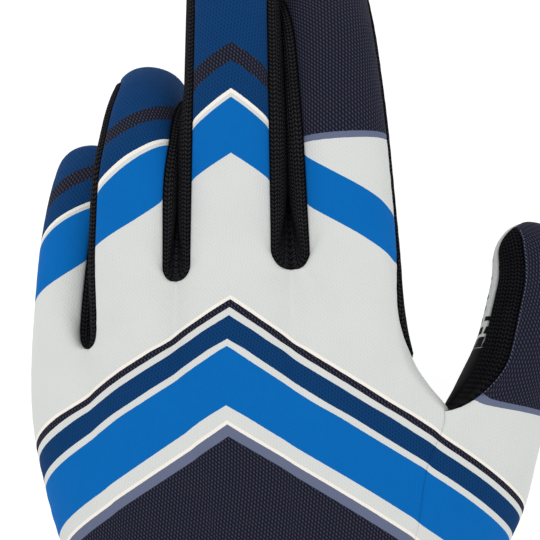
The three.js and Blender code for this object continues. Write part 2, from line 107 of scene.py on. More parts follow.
# How the cloth goes to a slit's end: how fast that softens away from the border, the power of a pointed end,
# over how many round parts a widened end comes back, and how much lower than halfway the web is deep.
slitForm = {"soften": 4, "pointed": 1.5, "back": 4, "webLow": 1.6}
# The hand's sections at shares of the palm's length: left and right in shares of the breadth, the other
# columns in shares of the knuckles' height.
sections = {
    "at": [-0.46, -0.4, -0.2, 0, 0.17, 0.385, 0.52, 0.67, 0.85, 1.05],
    "left": [-0.285, -0.285, -0.275, -0.275, -0.345, -0.437, -0.478, -0.503, -0.508, -0.5],
    "right": [0.505, 0.505, 0.49, 0.5, 0.615, 0.755, 0.83, 0.86, 0.8, 0.7],
    "top": [0.74, 0.74, 0.75, 0.77, 0.84, 0.94, 0.98, 1.0, 1.0, 0.98],
    "bottom": [-0.02, -0.02, -0.01, -0.02, -0.035, -0.035, 0.0, 0.1, 0.22, 0.3],
    "dropLeft": [0, 0, 0, 0.02, 0.05, 0.09, 0.11, 0.14, 0.18, 0.2],
    "dropRight": [0, 0, 0, 0.03, 0.1, 0.22, 0.28, 0.3, 0.3, 0.3],
    "seam": [0.36, 0.36, 0.36, 0.36, 0.35, 0.36, 0.38, 0.4, 0.44, 0.5],
}
# The lines between the digits at shares of the palm's length, in shares of the breadth.
lineTable = {
    "at": [-0.46, 0, 0.2, 0.385, 0.56, 0.67, 0.733, 0.795, 0.883, 1.05],
    "line1": [-0.13, -0.14, -0.2, -0.27, -0.325, -0.34, -0.345, -0.348, -0.35, -0.35],
    "line2": [0.03, 0.025, 0.005, -0.025, -0.065, -0.095, -0.105, -0.115, -0.125, -0.135],
    "line3": [0.19, 0.18, 0.175, 0.175, 0.172, 0.17, 0.17, 0.168, 0.168, 0.168],
    "line4": [0.345, 0.345, 0.43, 0.495, 0.52, 0.575, 0.535, 0.49, 0.465, 0.45],
}
wristY, palmLength, knuckle = hand["wristY"], hand["palmLength"], hand["knuckleHeight"]
hemEnd = wristY - hand["cuffLength"]
hemTop = hemEnd + hand["hemLength"]


# The row at a share of the palm's length past the wrist seam.
def yAt(share):
    return wristY + share * palmLength


# The place across at a share of the hand's breadth from its middle.
def xAt(share):
    return hand["middle"] + share * hand["breadth"]


# A soft step: 3 x squared minus 2 x cubed, with x kept between 0 and 1.
def smooth(x):
    x = np.clip(x, 0, 1)
    return x * x * (3 - 2 * x)


# A step that sets off fast: 2 x minus x squared, with x kept between 0 and 1.
def widen(x):
    x = np.clip(x, 0, 1)
    return x * (2 - x)


# From a at share 0 straight to b at share 1.
def mix(a, b, share):
    return a + (b - a) * share


# The size of x to the power p, with the sign of x.
def power(x, p):
    return np.sign(x) * np.abs(x) ** p


# Vectors made one long.
def unit(vectors):
    return vectors / (np.linalg.norm(vectors, axis=-1, keepdims=True) + 1e-12)


# A cubic through one column of a table: its slope at a row comes from the rows on both sides.
def along(table, column, at):
    x, y = np.array(table["at"], float), np.array(table[column], float)
    low, high = np.r_[0, 0 : len(x) - 1], np.r_[1 : len(x), len(x) - 1]
    slope = (y[high] - y[low]) / (x[high] - x[low])
    place = np.clip(at, x[0], x[-1])
    i = np.clip(np.searchsorted(x, place) - 1, 0, len(x) - 2)
    span = x[i + 1] - x[i]
    s = (place - x[i]) / span
    return (
        y[i] * (1 + 2 * s) * (1 - s) ** 2 + y[i + 1] * s * s * (3 - 2 * s)
        + slope[i] * span * s * (1 - s) ** 2 - slope[i + 1] * span * s * s * (1 - s)
    )


# The hand's section at a row, a rounded box: across by the cosine of the turn and up by its sine, each to the
# power 2 / sectionPower. Its back is lower towards the sides by the cosine squared, and the hem bulges.
def handPoint(row, turn, overBack):
    at = (row - wristY) / palmLength
    left, right = xAt(along(sections, "left", at)), xAt(along(sections, "right", at))
    top, bottom, seam, dropLeft, dropRight = (
        knuckle * along(sections, name, at) for name in ("top", "bottom", "seam", "dropLeft", "dropRight")
    )
    c = power(np.cos(turn), 2 / hand["sectionPower"])
    s = np.abs(np.sin(turn)) ** (2 / hand["sectionPower"])
    ridge = top - dropLeft * np.maximum(0, -c) ** 2 - dropRight * np.maximum(0, c) ** 2
    fade = (hand["hemLength"] - (row - hemEnd)) / hand["hemFade"] + hand["hemLap"]
    bulge = hand["hemBulge"] * smooth(fade)
    z = seam + (ridge - seam + bulge) * s if overBack else seam - (seam - bottom + bulge) * s
    x = (left + right) / 2 + ((right - left) / 2 + bulge) * c
    return np.stack([x, row + 0 * x, z + 0 * x], -1)


# Angle on the hand's section of the line between two digits.
def lineTurn(row, slit):
    if slit in (0, 5):
        return np.full_like(row, np.pi if slit == 0 else 0.0)
    at = (row - wristY) / palmLength
    left, right = xAt(along(sections, "left", at)), xAt(along(sections, "right", at))
    x = xAt(along(lineTable, f"line{slit}", at))
    c = (x - (left + right) / 2) / ((right - left) / 2)
    return np.arccos(np.clip(power(c, hand["sectionPower"] / 2), -1, 1))


# Centre line of a digit: it sets off from its base and turns a little further at each bend.
def centreLine(digit, step=0.25):
    s = np.arange(0, digit["length"] + step, step)
    heading, pitch = np.full_like(s, digit["heading"]), np.full_like(s, digit["pitch"])
    for at, aside, down in digit["bends"]:
        share = smooth((s / digit["length"] - at) / hand["bendShare"] + 0.5)
        heading, pitch = heading + aside * share, pitch + down * share
    h, p, roll = np.radians(heading), np.radians(pitch), np.radians(digit["roll"])
    ahead = np.stack([np.sin(h) * np.cos(p), np.cos(h) * np.cos(p), -np.sin(p)], -1)
    aside = np.stack([np.cos(h), -np.sin(h), 0 * h], -1)
    up = np.cross(aside, ahead)
    start = np.array([xAt(digit["across"]), yAt(digit["base"]), digit["up"] * knuckle])
    place = start + np.vstack([np.zeros(3), np.cumsum(ahead * step, 0)[:-1]])
    return {
        "step": step, "place": place, "ahead": ahead,
        "across": aside * np.cos(roll) - up * np.sin(roll), "out": up * np.cos(roll) + aside * np.sin(roll),
    }


digits = [{**d, "start": yAt(d["base"]), "cap": d["breadth"] / 2 * hand["tipTaper"] * hand["tipRound"],
           "line": centreLine(d), "stripEnd": np.sin(d["tipReach"] / hand["tipRows"] * np.pi / 2)}
          for d in digitTable]
slits = [{**s, "start": yAt(s["share"]), **{name: s[name] * digitTable[2]["breadth"] for name in
                                           ("round", "web", "webRun", "swell")}} for s in slitTable]
stripStart = digits[3]["start"] + indexStrip["start"] * digits[3]["length"]


# A digit's tube: a rounded section carried along its centre line, narrower to the tip and closed there by the
# root of 1 minus the square of how far its cap has come.
def digitPoint(n, row, turn):
    digit, line = digits[n], digits[n]["line"]
    s = row - digit["start"]
    i = np.clip(s / line["step"], 0, len(line["place"]) - 1.001)
    low, part = np.floor(i).astype(int), (i % 1)[..., None]
    at, ahead, across, out = (
        mix(line[name][low], line[name][low + 1], part) for name in ("place", "ahead", "across", "out")
    )
    at = at + ahead * np.minimum(s, 0)[..., None]
    capAt = np.clip((s - digit["length"] + digit["cap"]) / digit["cap"] + 1e-9, 0, 1)
    taper = mix(1, hand["tipTaper"], np.clip(s / (digit["length"] - digit["cap"]), 0, 1))
    taper = taper * np.sqrt(1 - capAt**2)
    c = power(np.cos(np.radians(turn)), 2 / hand["sectionPower"]) * taper * digit["breadth"] / 2
    d = power(np.sin(np.radians(turn)), 2 / hand["sectionPower"]) * taper * digit["depth"] / 2
    return at + across * c[..., None] + out * d[..., None]


# How wide a digit's side strips are at a row: 1 along the digit, and narrower on a parabola to their points.
def stripShare(n, row):
    digit = digits[n]
    end = digit["start"] + digit["length"] - digit["cap"] * (1 - digit["stripEnd"])
    return widen((end - row) / (digit["length"] * digit["narrow"]))


# Degrees on a digit's tube of the columns 0 to 5 of one side, from the back's border down to the palm's.
def sideTurns(n, row, side, column):
    digit = digits[n]
    s = row - digit["start"]
    taper = stripShare(n, row)
    back, palm = digit["back"][side] * taper, -digit["palm"][side] * taper
    knots = [mix(back, palm, c / hand["sideColumns"]) for c in range(hand["sideColumns"] + 1)]
    if side == 1 and n == 3:
        strip, far = indexStrip, s / digit["length"] - indexStrip["start"]
        spread = widen(far / strip["taper"])
        above = strip["above"] + strip["crest"] * (1 - np.clip(far / strip["crestRun"], 0, 1)) ** 2
        web = np.clip((stripStart - row) / (stripStart - slits[3]["start"]), 0, 1)
        turns = [above, (above - strip["below"]) / 2, -strip["below"]]
        inner = [mix(mix(strip["seam"], t, spread) * taper, knots[i + 2], web) for i, t in enumerate(turns)]
        knots = [back, mix(back, inner[0], 0.5), *inner, palm]
    knots = np.stack(np.broadcast_arrays(*knots), 0)
    low = np.clip(np.floor(column).astype(int), 0, len(knots) - 2)
    found = sum(
        np.where(low == k, mix(knots[k], knots[k + 1], column - k), 0.0) for k in range(len(knots) - 1)
    )
    return found if side == 1 else 180 - found


# How much a digit's own tube shapes its strip at a row, from 0 on the hand to 1.
def tubeShare(n, row):
    low, high = digits[n]["merge"]
    return smooth((row - yAt(low)) / (yAt(high) - yAt(low)))


# A place on a digit's back or palm before the slits close: the hand's section below, its tube above.
def stripPlace(n, row, sector, share):
    column = np.full_like(row, 0.0 if sector == "back" else float(hand["sideColumns"]))
    left, right = (sideTurns(n, row, side, column) for side in (0, 1))
    tube = digitPoint(n, row, mix(left, right + (360 if sector == "palm" else 0), share))
    turn = mix(lineTurn(row, n), lineTurn(row, n + 1), share)
    return mix(handPoint(row, turn, sector == "back"), tube, tubeShare(n, row)[..., None])


# A place on a digit's side before the slits close, in one of the columns from the back down to the palm.
def sidePlace(n, row, side, column):
    turns = sideTurns(n, row, side, column)
    first = sideTurns(n, row, side, np.zeros_like(row))
    last = sideTurns(n, row, side, np.full_like(row, float(hand["sideColumns"])))
    spread = np.where(np.abs(last - first) < 1e-6, 1.0, last - first)
    share = (turns - first) / spread
    turn = lineTurn(row, n + side)
    place = mix(handPoint(row, turn, True), handPoint(row, turn, False), share[..., None])
    bulge = hand["sideBulge"] * digits[n]["depth"] * 4 * share * (1 - share)
    place[..., 0] += bulge if side == 1 else -bulge
    return mix(place, digitPoint(n, row, turns), tubeShare(n, row)[..., None])


# How far a border is drawn to its slit's end: all the way up to its start, and past it on a quarter circle
# or a power curve down to nothing. Away from the border that turns into a soft step.
def drawn(slit, row, side, away=0.0):
    s = np.clip((row - slit["start"]) / (slit["round"] + hand["slitSpread"] * away), 0, 1)
    pointed = (1 - s) ** slitForm["pointed"]
    closed = mix(1 - np.sqrt(1 - (1 - s) ** 2), pointed, slit["sharp"][1 - side])
    closed = mix(closed, 1 - smooth(s), smooth(slitForm["soften"] * away))
    return closed * (slit["meet"] if side == 1 else 1 - slit["meet"])


# How far a border stands back from its slit above its end, in millimetres: out on a quarter circle over half
# of the round part, and back again over a few times its length.
def stoodBack(slit, row):
    far = (row - slit["start"]) / slit["round"]
    out = np.sqrt(1 - (1 - np.clip(2 * far, 0, 1)) ** 2)
    return slit["wide"] * out * (1 - smooth((far - 0.5) / slitForm["back"]))


# A digit's back or palm as a grid of rows and shares across. Its borders are drawn to the slits' ends and
# stand back from them, which fades across the grid by the square and the fourth power of the nearness.
def sectorGrid(n, rows, sector, shares):
    row, share = np.broadcast_arrays(rows[:, None], shares[None, :])
    place = stripPlace(n, row, sector, share)
    for side in (0, 1):
        k = n + side - 1
        if 0 <= k <= 3:
            until = np.minimum(rows, slits[k]["start"])
            own = stripPlace(n, until, sector, np.full_like(until, float(side)))
            other = stripPlace(n + (1 if side else -1), until, sector, np.full_like(until, 1.0 - side))
            away = share if side == 0 else 1 - share
            weight = drawn(slits[k], row, side, away) * (1 - away) ** 2
            place = place + (other - own)[:, None, :] * weight[..., None]
            back = stoodBack(slits[k], row) * (1 - away) ** 4
            place[..., 0] += back if side == 0 else -back
    return place


# A digit's side as a grid of rows and columns: its tube, drawn to the slit's end near its start, and pushed
# out between its seams by a share of the gap to the digit across.
def sideGrid(n, rows, side, columns):
    row, column = np.broadcast_arrays(rows[:, None], columns[None, :])
    slit, line, other = slits[n + side - 1], digits[n]["line"], n + (1 if side else -1)
    share = columns / hand["sideColumns"]
    arch, deep = np.sin(np.pi * share), np.sin(np.pi * share ** slitForm["webLow"]) ** 2
    start = slit["start"] + slit["web"] * deep
    way = sidePlace(other, start, 1 - side, columns) - sidePlace(n, start, side, columns)
    at = row + slit["web"] * deep * (1 - smooth((row - slit["start"]) / slit["webRun"]))
    own = sidePlace(n, at, side, column)
    run = smooth((row - slit["start"]) / slit["swell"])
    near = np.clip((row - digits[n]["start"]) / line["step"], 0, len(line["place"]) - 1).astype(int)
    out = line["across"][near] * (1 if side else -1)
    gap = ((sidePlace(other, at, 1 - side, column) - own) * out).sum(-1)
    tip = digits[other]["line"]["place"][-1, 1]
    beside = smooth((tip - own[..., 1]) / (digits[other]["breadth"] / 2))
    puff = np.minimum(hand["knitPuff"], slit["fill"] * np.maximum(0, gap)) * arch * run * beside
    push = (puff * stripShare(n, row))[..., None] * out
    place = own + way[None] * drawn(slit, row, side)[..., None] + push
    place[..., 0] += stoodBack(slit, row) * (-1 if side else 1)
    return place


# Rows closer than the gap are filled in evenly.
def fillRows(rows, gap):
    steps = [np.linspace(a, b, int(np.ceil((b - a) / gap)), endpoint=False)
             for a, b in zip(rows[:-1], rows[1:])]
    return np.concatenate([*steps, rows[-1:]])


# The mesh: rows and columns in millimetres and counts. endRows shape a slit's round end. The three Least are
# how near rows may be to each other. crowd is how much closer columns lie at the borders, and weld how many
# steps of a millimetre places are rounded to. layMiddle is where the middle finger lies on the flat cloth.
mesh = {
    "rowGap": 1.0, "tipRows": 15, "backColumns": 30, "palmColumns": 22, "sideColumns": 4, "endRows": 9,
    "rowLeast": 0.05, "startLeast": 0.04, "lastLeast": 0.02, "crowd": 0.75, "weld": 500, "evenTurns": 8,
    "layShares": (0, 0.5, 1), "layMiddle": (-1.0, -6.0, -9.0),
}
starts = sorted([s["start"] for s in slits] + [stripStart])
bends = [s["start"] + s["round"] * (i / mesh["endRows"]) ** 2
         for s in slits for i in range(1, mesh["endRows"] + 1)]
keys = sorted([hemEnd, hemTop, wristY, *starts, *bends])
keys = [k for i, k in enumerate(keys) if k in starts or i == 0 or (
    k - keys[i - 1] > mesh["rowLeast"] and min(abs(k - s) for s in starts) > mesh["startLeast"])]
sharedRows = fillRows(np.array(keys), mesh["rowGap"])


# Rows of one digit: the shared ones up to its slits, even ones along it, and closer ones round its tip.
def rowsOf(n):
    digit = digits[n]
    end = digit["start"] + digit["length"]
    capStart = end - digit["cap"]
    first = max(s["start"] + s["round"] for s in slits[max(0, n - 1) : n + 1])
    count = int(np.ceil((capStart - first) / mesh["rowGap"]))
    tip = mix(capStart, end, np.sin(np.arange(1, mesh["tipRows"] + 1) / mesh["tipRows"] * np.pi / 2))
    shared = sharedRows[sharedRows < first - mesh["lastLeast"]]
    return np.concatenate([shared, np.linspace(first, capStart, count + 1), tip])


# How wide the cloth of a digit's strip is on each side of its middle.
def halfWidths(n, rows, sector, half=8):
    grid = sectorGrid(n, rows, sector, np.linspace(0, 1, 2 * half + 1))
    steps = np.linalg.norm(np.diff(grid, axis=1), axis=2)
    return steps[:, :half].sum(1), steps[:, half:].sum(1)


# Where the middle of a digit's strip lies on the cloth laid flat, counted from the middle finger outwards.
def clothMiddle(n, rows, sector):
    if n == 2:
        return np.interp(rows, [yAt(share) for share in mesh["layShares"]], mesh["layMiddle"])
    inner, k = (n + 1, n) if n < 2 else (n - 1, n - 1)
    until = np.minimum(rows, slits[k]["start"])
    own, near = halfWidths(n, until, sector), halfWidths(inner, until, sector)
    away = own[1] + near[0] if n < 2 else own[0] + near[1]
    return clothMiddle(inner, until, sector) + (-away if n < 2 else away)


# The panels. wall is the cloth's thickness. sink and roll: how deep and how wide it turns down at a seam.
# puff: how far it stands out between its seams. pucker: height of the small waves along a seam. even: how
# often its form is evened out away from its seams. finish: what its outside and its inside are made of.
printed = {"wall": 1.5, "sink": 0.32, "roll": 1.3, "puff": 0.0, "pucker": 0.06, "even": 10,
           "finish": ("printed", "lining")}
palmSide = {"wall": 1.7, "sink": 0.32, "roll": 1.4, "puff": 0.0, "pucker": 0.08, "even": 10,
            "finish": ("suede", "lining"), "slot": "palm_suede"}
knitSide = {"wall": 1.3, "sink": 0.32, "roll": 1.5, "puff": 0.35, "pucker": 0.03, "even": 6,
            "finish": ("knit", "lining"), "slot": "side_knit"}
panels = {
    "back_panel": {**printed, "slot": "printed_cloth"},
    "palm_panel": palmSide,
    "thumb_back": {**printed, "slot": "thumb_cloth"},
    "thumb_palm": palmSide,
    "thumb_gusset": {**knitSide, "roll": 1.4, "puff": 0.3, "pucker": 0.04, "finish": ("gusset", "lining"),
                     "slot": "gusset_knit"},
    "fourchette_little_ring": knitSide,
    "fourchette_ring_middle": knitSide,
    "fourchette_middle_index": knitSide,
    "index_side_strip": {**knitSide, "roll": 1.0, "puff": 0.6},
    "cuff": {"wall": 2.0, "sink": 0.5, "roll": 1.4, "puff": 0.0, "pucker": 0.1, "even": 0,
             "finish": ("cuff", "lining"), "slot": "cuff_knit"},
    "cuff_binding": {"wall": 2.8, "sink": 0.35, "roll": 1.2, "puff": 0.45, "pucker": 0.05, "even": 0,
                     "finish": ("tape", "tape"), "slot": "binding_tape"},
}
panelIndex = {name: i for i, name in enumerate(panels)}
slitPanels = [panelIndex[name] for name in (
    "fourchette_little_ring", "fourchette_ring_middle", "fourchette_middle_index", "thumb_gusset")]
gathered = {"place": [], "lay": [], "digit": [], "faces": [], "panel": []}


# One patch of the skin: two triangles for each cell, turned so that they face outwards.
def addPatch(place, across, rows, n, panel, outward):
    count = sum(len(p) for p in gathered["place"])
    index = count + np.arange(place.shape[0] * place.shape[1]).reshape(place.shape[:2])
    a, b, c, d = index[:-1, :-1], index[:-1, 1:], index[1:, 1:], index[1:, :-1]
    tris = np.stack([np.stack([a, b, c], -1), np.stack([a, c, d], -1)], -2)
    if not outward:
        tris = tris[..., ::-1]
    gathered["place"].append(place.reshape(-1, 3))
    lay = np.stack([across, np.broadcast_to(rows[:, None], across.shape)], -1)
    gathered["lay"].append(lay.reshape(-1, 2))
    gathered["digit"].append(np.full(across.size, float(n)))
    gathered["faces"].append(tris.reshape(-1, 3))
    gathered["panel"].append(np.repeat(panel.reshape(-1), 2))


# Length along each row of a grid, from its left.
def arcs(place):
    steps = np.linalg.norm(np.diff(place, axis=1), axis=2)
    return np.hstack([np.zeros((len(place), 1)), np.cumsum(steps, 1)])


# Each digit's back, palm and sides. A side belongs to the knit of its slit, but the index finger's outer side
# is shared by the back, the strip of knit and the palm.
for n in range(5):
    rows = rowsOf(n)
    middles = (rows[:-1] + rows[1:]) / 2
    borders = {}
    for sector, count in (("back", mesh["backColumns"]), ("palm", mesh["palmColumns"])):
        even = np.linspace(0, 1, count + 1)
        shares = mix(even, 0.5 - 0.5 * np.cos(np.pi * even), mesh["crowd"])
        place = sectorGrid(n, rows, sector, shares)
        place[..., 2] = np.maximum(place[..., 2], 0)
        arc = arcs(place)
        across = arc - arc[:, count // 2][:, None] + clothMiddle(n, rows, sector)[:, None]
        borders[sector] = across[:, -1]
        own = panelIndex[f"thumb_{sector}" if n == 4 else f"{sector}_panel"]
        ids = np.where(middles < wristY, panelIndex["cuff"], own)
        ids = np.where(middles < hemTop, panelIndex["cuff_binding"], ids)[:, None]
        addPatch(place, across, rows, n, np.broadcast_to(ids, (len(rows) - 1, count)), sector == "back")
    for side in (0, 1):
        k = n + side - 1
        if not 0 <= k <= 3:
            continue
        free = rows >= slits[k]["start"] - 1e-6
        columns = np.arange(hand["sideColumns"] * mesh["sideColumns"] + 1) / mesh["sideColumns"]
        place = sideGrid(n, rows[free], side, columns)
        place[..., 2] = np.maximum(place[..., 2], 0)
        arc = arcs(place)
        shape = (free.sum() - 1, len(columns) - 1)
        if n == 3 and side == 1:
            first, last = indexStrip["columns"]
            strip = (rows[free][:-1] + rows[free][1:])[:, None] / 2 > stripStart
            cell = np.broadcast_to(np.floor(columns[:-1])[None], shape)
            ids = np.where(cell < np.where(strip, first, indexStrip["meet"]), panelIndex["back_panel"],
                           panelIndex["palm_panel"])
            ids = np.where(strip & (cell >= first) & (cell < last), panelIndex["index_side_strip"], ids)
            edge = [borders[s][free][:, None] for s in ("back", "palm")]
            arc = np.where(columns[None] <= indexStrip["meet"], arc + edge[0], arc[:, -1:] - arc + edge[1])
        else:
            ids = np.full(shape, slitPanels[k])
        addPatch(place, arc, rows[free], n, ids, side == 1)
skin = {name: np.concatenate(parts) for name, parts in gathered.items()}
print("skin:", len(skin["place"]), "places,", len(skin["faces"]), "faces")

# Places that coincide are one vertex of the skin, and its direction is the sum of the faces round it.
firstOf, vertexOf = np.unique(np.round(skin["place"] * mesh["weld"]).astype(int), axis=0, return_index=True,
                              return_inverse=True)[1:]
vertexOf = vertexOf.reshape(-1)
faces = vertexOf[skin["faces"]]
sound = (faces[:, 0] != faces[:, 1]) & (faces[:, 1] != faces[:, 2]) & (faces[:, 0] != faces[:, 2])
places = skin["place"][firstOf]
corner = places[faces]
faceNormal = np.cross(corner[:, 1] - corner[:, 0], corner[:, 2] - corner[:, 0])
normal = np.zeros_like(places)
for i in range(3):
    np.add.at(normal, faces[sound, i], faceNormal[sound])
normal = unit(normal)


# Mean of the values at the other ends of each vertex's edges.
def neighbourMean(values, pairs):
    ends = np.concatenate([pairs, pairs[:, ::-1]])
    times = np.maximum(np.bincount(ends[:, 0], minlength=len(values)), 1)
    sums = [np.bincount(ends[:, 0], values[ends[:, 1], k], len(values)) for k in range(values.shape[1])]
    return np.stack(sums, -1) / times[:, None]


# Each edge of the triangles once, and how many of them have it.
def edgesOf(tris):
    pairs = np.concatenate([tris[:, [0, 1]], tris[:, [1, 2]], tris[:, [2, 0]]])
    return np.unique(np.sort(pairs, 1), axis=0, return_counts=True)


skinEdges = edgesOf(faces[sound])[0]
for _ in range(mesh["evenTurns"]):
    normal = unit(normal + 2 * neighbourMean(normal, skinEdges))


# Values evened out: each goes a share of the way to its neighbours' mean, that many times.
def evened(values, pairs, share, times):
    for _ in range(times):
        values = values + share[:, None] * (neighbourMean(values, pairs) - values)
    return values


# Distance of each point to the nearest of the others and which one that is, a block at a time.
def nearest(points, others, block=1500):
    far, which = [], []
    for i in range(0, len(points), block):
        part = points[i : i + block]
        square = (part**2).sum(1)[:, None] + (others**2).sum(1)[None] - 2 * part @ others.T
        which.append(square.argmin(1))
        far.append(np.sqrt(np.maximum(square.min(1), 0)))
    return np.concatenate(far), np.concatenate(which)


# Where each slit starts, and the seam of the thumb's back, where the cloth hardly dips.
slitEnds = np.array([sectorGrid(k, np.array([s["start"]]), sector, np.array([1.0]))[0, 0]
                     for k, s in enumerate(slits) for sector in ("back", "palm")])
thumbRows = np.arange(wristY, slits[3]["start"], mesh["rowGap"] / 2)
thumbSeam = sectorGrid(3, thumbRows, "back", np.array([1.0]))[:, 0]


# Small dents and creases of the back, from one point to another as seen from above.
creases = [
    {"start": (9.3, 90.6), "end": (12.6, 86.2), "wide": 0.7, "deep": 0.3},
    {"start": (12.3, 132.0), "end": (18.9, 135.6), "wide": 3.0, "deep": 0.4},
    {"start": (-36.3, 125.4), "end": (-31.6, 121.8), "wide": 2.6, "deep": 0.4},
    {"start": (46.9, 44.8), "end": (47.6, 24.5), "wide": 4.0, "deep": 0.35},
]


# How a panel lies. Its form is evened out from formFrom inside its seams on, its print from layFrom on, by a
# share each time. Seams dip less at the slits' ends and along the thumb's seam, by a share and over a run.
# Each small wave has a length, a slant, a start and a height. The swell is one slow wave of the back.
# flatShade is how much fainter the painted seam shade is where a seam dips less.
drape = {
    "formFrom": 5.0, "layFrom": 2.0, "evenShare": 0.6, "slitDip": 0.35, "slitRun": 5.0, "thumbDip": 0.25,
    "thumbRun": 3.0, "waves": ((3.7, 0.4, 0.0, 1.0), (5.9, 0.0, 1.3, 0.6)), "waveFade": 2.2,
    "creaseFrom": 1.5, "creaseUp": 0.2, "swell": 0.12, "swellAcross": 0.19, "swellAlong": 0.11,
    "swellFrom": 6.0, "flatShade": 0.9,
}
# The cuff: furrows round it and ribs along it, all of it a little lower than its seams.
cuffForm = {"from": 3.0, "furrow": 9.9, "furrowDeep": 0.35, "sharpness": 6, "low": 0.12, "rib": 4.8,
            "ribHigh": 0.14}
# A panel's wall is thinner in rows narrower than full, and thinnest where its mesh is folded, that is where
# its own direction and the skin's have a smaller cosine than facing.
wallRule = {"full": 1.5, "steps": 10, "least": 0.1, "facing": 0.3}


# The share of its depth that a seam dips by, at places on the rim.
def seamDip(name, rimPoints):
    dip = mix(drape["slitDip"], 1, smooth(nearest(rimPoints, slitEnds)[0] / drape["slitRun"]))
    if name in ("back_panel", "thumb_back"):
        away = smooth(nearest(rimPoints, thumbSeam)[0] / drape["thumbRun"])
        dip = np.minimum(dip, mix(drape["thumbDip"], 1, away))
    return dip


# How far a panel's places move out: its puff times 1 - t squared, less its sink times t squared, where t
# falls from 1 at the seam to 0 at its roll, and waves that fade away from the seam by a power of e.
def panelLift(name, points, out, lay, edge, dip):
    facts = panels[name]
    turned = 1 - np.clip(edge / facts["roll"], 0, 1)
    lift = -facts["sink"] * dip * turned**2 + facts["puff"] * (1 - turned**2)
    wave = sum(high * np.sin((lay[:, 1] + slant * lay[:, 0]) * 2 * np.pi / length + start)
               for length, slant, start, high in drape["waves"])
    lift += facts["pucker"] * wave * dip * np.clip(edge, 0, 1) * np.exp(-edge / drape["waveFade"])
    if name == "cuff":
        away = np.clip(edge / cuffForm["from"], 0, 1)
        furrow = np.cos((lay[:, 1] - wristY) * 2 * np.pi / cuffForm["furrow"]) ** cuffForm["sharpness"]
        lift -= away * (cuffForm["furrowDeep"] * furrow + cuffForm["low"])
        lift += away * cuffForm["ribHigh"] * np.sin(lay[:, 0] * 2 * np.pi / cuffForm["rib"])
    if name in ("back_panel", "thumb_back"):
        seen = points[:, :2]
        for crease in creases:
            a, b = np.array(crease["start"]), np.array(crease["end"])
            t = np.clip(((seen - a) @ (b - a)) / ((b - a) @ (b - a)), 0, 1)
            far = np.linalg.norm(seen - a - t[:, None] * (b - a), axis=1)
            dent = crease["deep"] * np.exp(-((far / crease["wide"]) ** 2)) * (out[:, 2] > drape["creaseUp"])
            lift -= dent * smooth(edge / drape["creaseFrom"])
        swell = np.sin(seen @ np.array([drape["swellAcross"], drape["swellAlong"]]))
        lift += drape["swell"] * swell * np.clip(edge / drape["swellFrom"], 0, 1)
    return lift


# The share of the wall that each vertex gets, in steps.
def wallShares(data, rows, edge, out):
    level = np.round(2 * rows).astype(int)
    level -= level.min()
    widest = np.zeros(level.max() + 1)
    np.maximum.at(widest, level, edge)
    share = np.ceil(wallRule["steps"] * widest[level] / wallRule["full"]) / wallRule["steps"]
    share = np.clip(share, wallRule["least"], 1)
    facing = np.zeros(3 * len(rows))
    data.vertices.foreach_get("normal", facing)
    share[(facing.reshape(-1, 3) * out).sum(1) < wallRule["facing"]] = wallRule["least"]
    return share


# A mesh as a piece of the glove, on its only body. Places are in millimetres.
def addPiece(name, data, points, polygons):
    data.from_pydata((points * mm).tolist(), [], polygons)
    data.polygons.foreach_set("use_smooth", np.ones(len(data.polygons), bool))
    data.update()
    piece = bpy.data.objects.new(name, data)
    bpy.context.scene.collection.objects.link(piece)
    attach(piece, "root")
    return piece


# One panel: its stretch of the skin, evened out and lifted, and a wall inside it.
def panelMesh(name):
    facts = panels[name]
    own = (skin["panel"] == panelIndex[name]) & sound
    used, first = np.unique(vertexOf[skin["faces"][own]].reshape(-1), return_index=True)
    raw = skin["faces"][own].reshape(-1)[first]
    local = np.full(len(places), -1)
    local[used] = np.arange(len(used))
    tris = local[faces[own]]
    edges, times = edgesOf(tris)
    rim = edges[times == 1]
    points, out, lay = places[used], normal[used], skin["lay"][raw]
    rimPoints = np.concatenate([mix(points[rim[:, 0]], points[rim[:, 1]], s) for s in (0.0, 0.33, 0.67)])
    edge, which = nearest(points, rimPoints)
    dip = seamDip(name, rimPoints)[which]
    points = evened(points, edges, smooth(edge / drape["formFrom"]) * drape["evenShare"], facts["even"])
    lay = evened(lay, edges, smooth(edge / drape["layFrom"]) * drape["evenShare"], 2 * facts["even"])
    points = points + out * panelLift(name, points, out, lay, edge, dip)[:, None]
    points[:, 2] = np.maximum(points[:, 2], 0)
    data = bpy.data.meshes.new(name)
    piece = addPiece(f"glove_{name}", data, points, tris.tolist())
    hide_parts(name)
    attribute = data.attributes.new("lay", "FLOAT_VECTOR", "POINT")
    # The third part of lay is the distance to the seam, made larger where the seam dips less, so that the
    # painted seam shade is fainter there.
    shadeEdge = edge + drape["flatShade"] * (1 - dip)
    attribute.data.foreach_set("vector", np.column_stack([lay, shadeEdge]).astype(np.float32).reshape(-1))
    attribute = data.attributes.new("digit", "FLOAT", "POINT")
    attribute.data.foreach_set("value", skin["digit"][raw].astype(np.float32))
    group = piece.vertex_groups.new(name="wall")
    share = wallShares(data, skin["lay"][raw][:, 1], edge, out)
    for part in np.unique(share):
        group.add(np.flatnonzero(share == part).tolist(), float(part), "REPLACE")
    wall = piece.modifiers.new("wall", "SOLIDIFY")
    wall.thickness, wall.offset, wall.material_offset = facts["wall"] * mm, -1, 1
    wall.vertex_group = "wall"
    return piece


pieces = {name: panelMesh(name) for name in panels}
print("panels:", {name: len(piece.data.polygons) for name, piece in pieces.items()})


